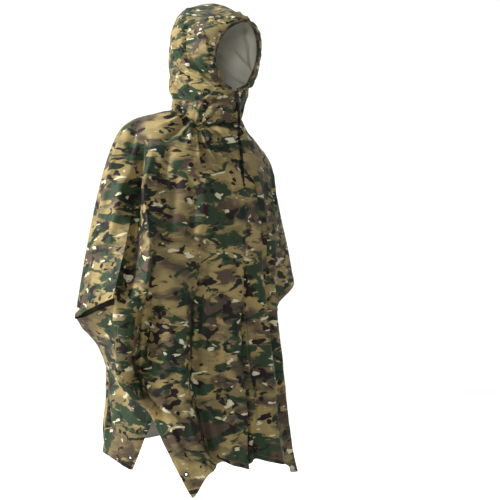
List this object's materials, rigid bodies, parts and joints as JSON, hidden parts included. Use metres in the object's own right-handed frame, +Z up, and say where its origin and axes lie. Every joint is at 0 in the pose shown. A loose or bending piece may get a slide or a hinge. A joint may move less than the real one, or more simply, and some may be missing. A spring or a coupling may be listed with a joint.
{
  "type": "hooded rain poncho",
  "caption": "Hooded rain poncho in camouflage cloth, hanging as worn and open at the neck, hem and cuffs, with a corded hood, snaps and grommets.",
  "frame": {"origin": "middle of the neck opening, where the wearer's neck and shoulders carry the cloth", "axes": "+Z up, the wearer faces -Y, and the wearer's right hand is on -X"},
  "size_m": [0.682, 0.4972, 1.2965],
  "materials": {
    "cloth": "coated cloth, slight sheen, camouflage",
    "channel": "coated cloth, gathered",
    "cord": "braided cord, matte",
    "plastic": "black, satin",
    "metal": "dark, worn"
  },
  "bodies": {
    "root": {"front_panel": "cloth", "back_panel": "cloth", "hood_right": "cloth", "hood_left": "cloth", "face_channel": "channel", "cord_lock_barrel": "plastic", "cord_lock_button": "plastic", "drawcord_right": "cord", "drawcord_left": "cord", "knot_right": "cord", "knot_left": "cord", "snap_lip_right": "metal", "snap_lip_left": "metal", "snap_hip_right": "metal", "snap_hip_left": "metal", "snap_thigh_right": "metal", "snap_thigh_left": "metal", "front_grommet_right": "metal", "front_grommet_left": "metal", "back_grommet_right": "metal", "back_grommet_left": "metal"}
  },
  "joints": []
}
